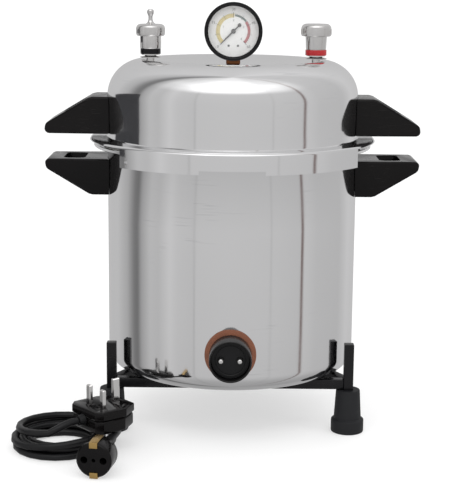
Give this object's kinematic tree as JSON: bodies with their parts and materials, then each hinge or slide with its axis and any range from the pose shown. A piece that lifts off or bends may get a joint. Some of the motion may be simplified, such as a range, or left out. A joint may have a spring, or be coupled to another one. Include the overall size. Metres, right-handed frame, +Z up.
{
  "type": "benchtop autoclave",
  "caption": "Electric pressure-pot autoclave with a turning bayonet lid, dial gauge, relief and safety valves, inner basket, leg stand and cord set.",
  "frame": {"origin": "on the floor under the pot's axis, at the bottom centre of the object's box without its loose cord set", "axes": "+Z up along the pot's axis, the electric inlet and the dial face -Y, the handles are along X"},
  "size_m": [0.395, 0.364, 0.4194],
  "materials": {
    "polished_aluminium": "mirror polish",
    "bakelite": "moulded gloss",
    "stand_paint": "semi-gloss enamel",
    "foot_rubber": "matte",
    "gasket_rubber": "matte",
    "steel": "nickel plate",
    "brass": "satin",
    "bronze": "dark satin",
    "fibre": "pressed fibre",
    "phenolic": "satin",
    "valve_black": "enamel",
    "valve_red": "enamel",
    "dial_white": "printed face",
    "clear": "clear",
    "cord_rubber": "satin",
    "element_alloy": "oxidised"
  },
  "bodies": {
    "base": {"pot": "polished_aluminium", "tray": "polished_aluminium", "pot_handle_left": "bakelite", "pot_handle_right": "bakelite", "connector_body": "bakelite", "plug_base": "bakelite", "plug_cover": "bakelite", "stand_bar_front": "stand_paint", "stand_bar_left": "stand_paint", "stand_bar_right": "stand_paint", "stand_post_front_left": "stand_paint", "stand_post_front_right": "stand_paint", "stand_post_rear": "stand_paint", "foot_front_left": "foot_rubber", "foot_front_right": "foot_rubber", "foot_rear": "foot_rubber", "pot_screw_left": "steel", "pot_screw_right": "steel", "inlet_shroud": "steel", "inlet_pin_left": "steel", "inlet_pin_right": "steel", "plug_pin_earth": "steel", "plug_pin_line": "steel", "plug_pin_neutral": "steel", "element_head": "brass", "connector_clip_top": "brass", "connector_clip_bottom": "brass", "inlet_washer": "fibre", "inlet_insulator": "phenolic", "cord_coil": "cord_rubber", "cord_lead_connector": "cord_rubber", "cord_lead_plug": "cord_rubber", "connector_sleeve": "cord_rubber", "plug_grommet": "cord_rubber", "heating_element": "element_alloy"},
    "lid_seal": {"lid_gasket": "gasket_rubber"},
    "lid_unit": {"lid": "polished_aluminium", "lid_handle_left": "bakelite", "lid_handle_right": "bakelite", "lid_screw_left": "steel", "lid_screw_right": "steel", "gauge_case": "steel", "gauge_bezel": "valve_black", "gauge_dial": "dial_white", "gauge_lens": "clear", "gauge_neck": "bronze", "gauge_nut": "brass", "relief_stem": "steel", "relief_nut": "brass", "safety_stem": "steel", "safety_nut": "brass", "safety_body": "steel", "safety_ring": "valve_red", "safety_spring": "steel"},
    "pointer": {"gauge_pointer": "valve_black"},
    "relief": {"relief_weight": "steel", "relief_ring": "valve_black"},
    "safety": {"safety_cap": "steel"},
    "basket_unit": {"basket": "polished_aluminium"},
    "bail": {"basket_bail": "steel"}
  },
  "joints": [
    {"name": "lid_lift", "type": "slide", "parent": "base", "child": "lid_seal", "axis": [0, 0, 1], "range_m": [0, 0.15]},
    {"name": "lid_turn", "type": "hinge", "parent": "lid_seal", "child": "lid_unit", "pos_m": [0, 0, 0.2865], "axis": [0, 0, 1], "range_deg": [0, 20.75]},
    {"name": "gauge_pointer_turn", "type": "hinge", "parent": "lid_unit", "child": "pointer", "pos_m": [0, -0.0127, 0.3907], "axis": [0, 1, 0], "range_deg": [0, 270]},
    {"name": "relief_lift", "type": "slide", "parent": "lid_unit", "child": "relief", "axis": [0, 0, 1], "range_m": [0, 0.006]},
    {"name": "safety_lift", "type": "slide", "parent": "lid_unit", "child": "safety", "axis": [0, 0, 1], "range_m": [0, 0.004], "stiffness_N_per_m": 900, "springref_m": -0.002},
    {"name": "basket_lift", "type": "slide", "parent": "base", "child": "basket_unit", "axis": [0, 0, 1], "range_m": [0, 0.01]},
    {"name": "basket_bail_swing", "type": "hinge", "parent": "basket_unit", "child": "bail", "pos_m": [0, 0, 0.2458], "axis": [1, 0, 0], "range_deg": [0, 180]}
  ]
}
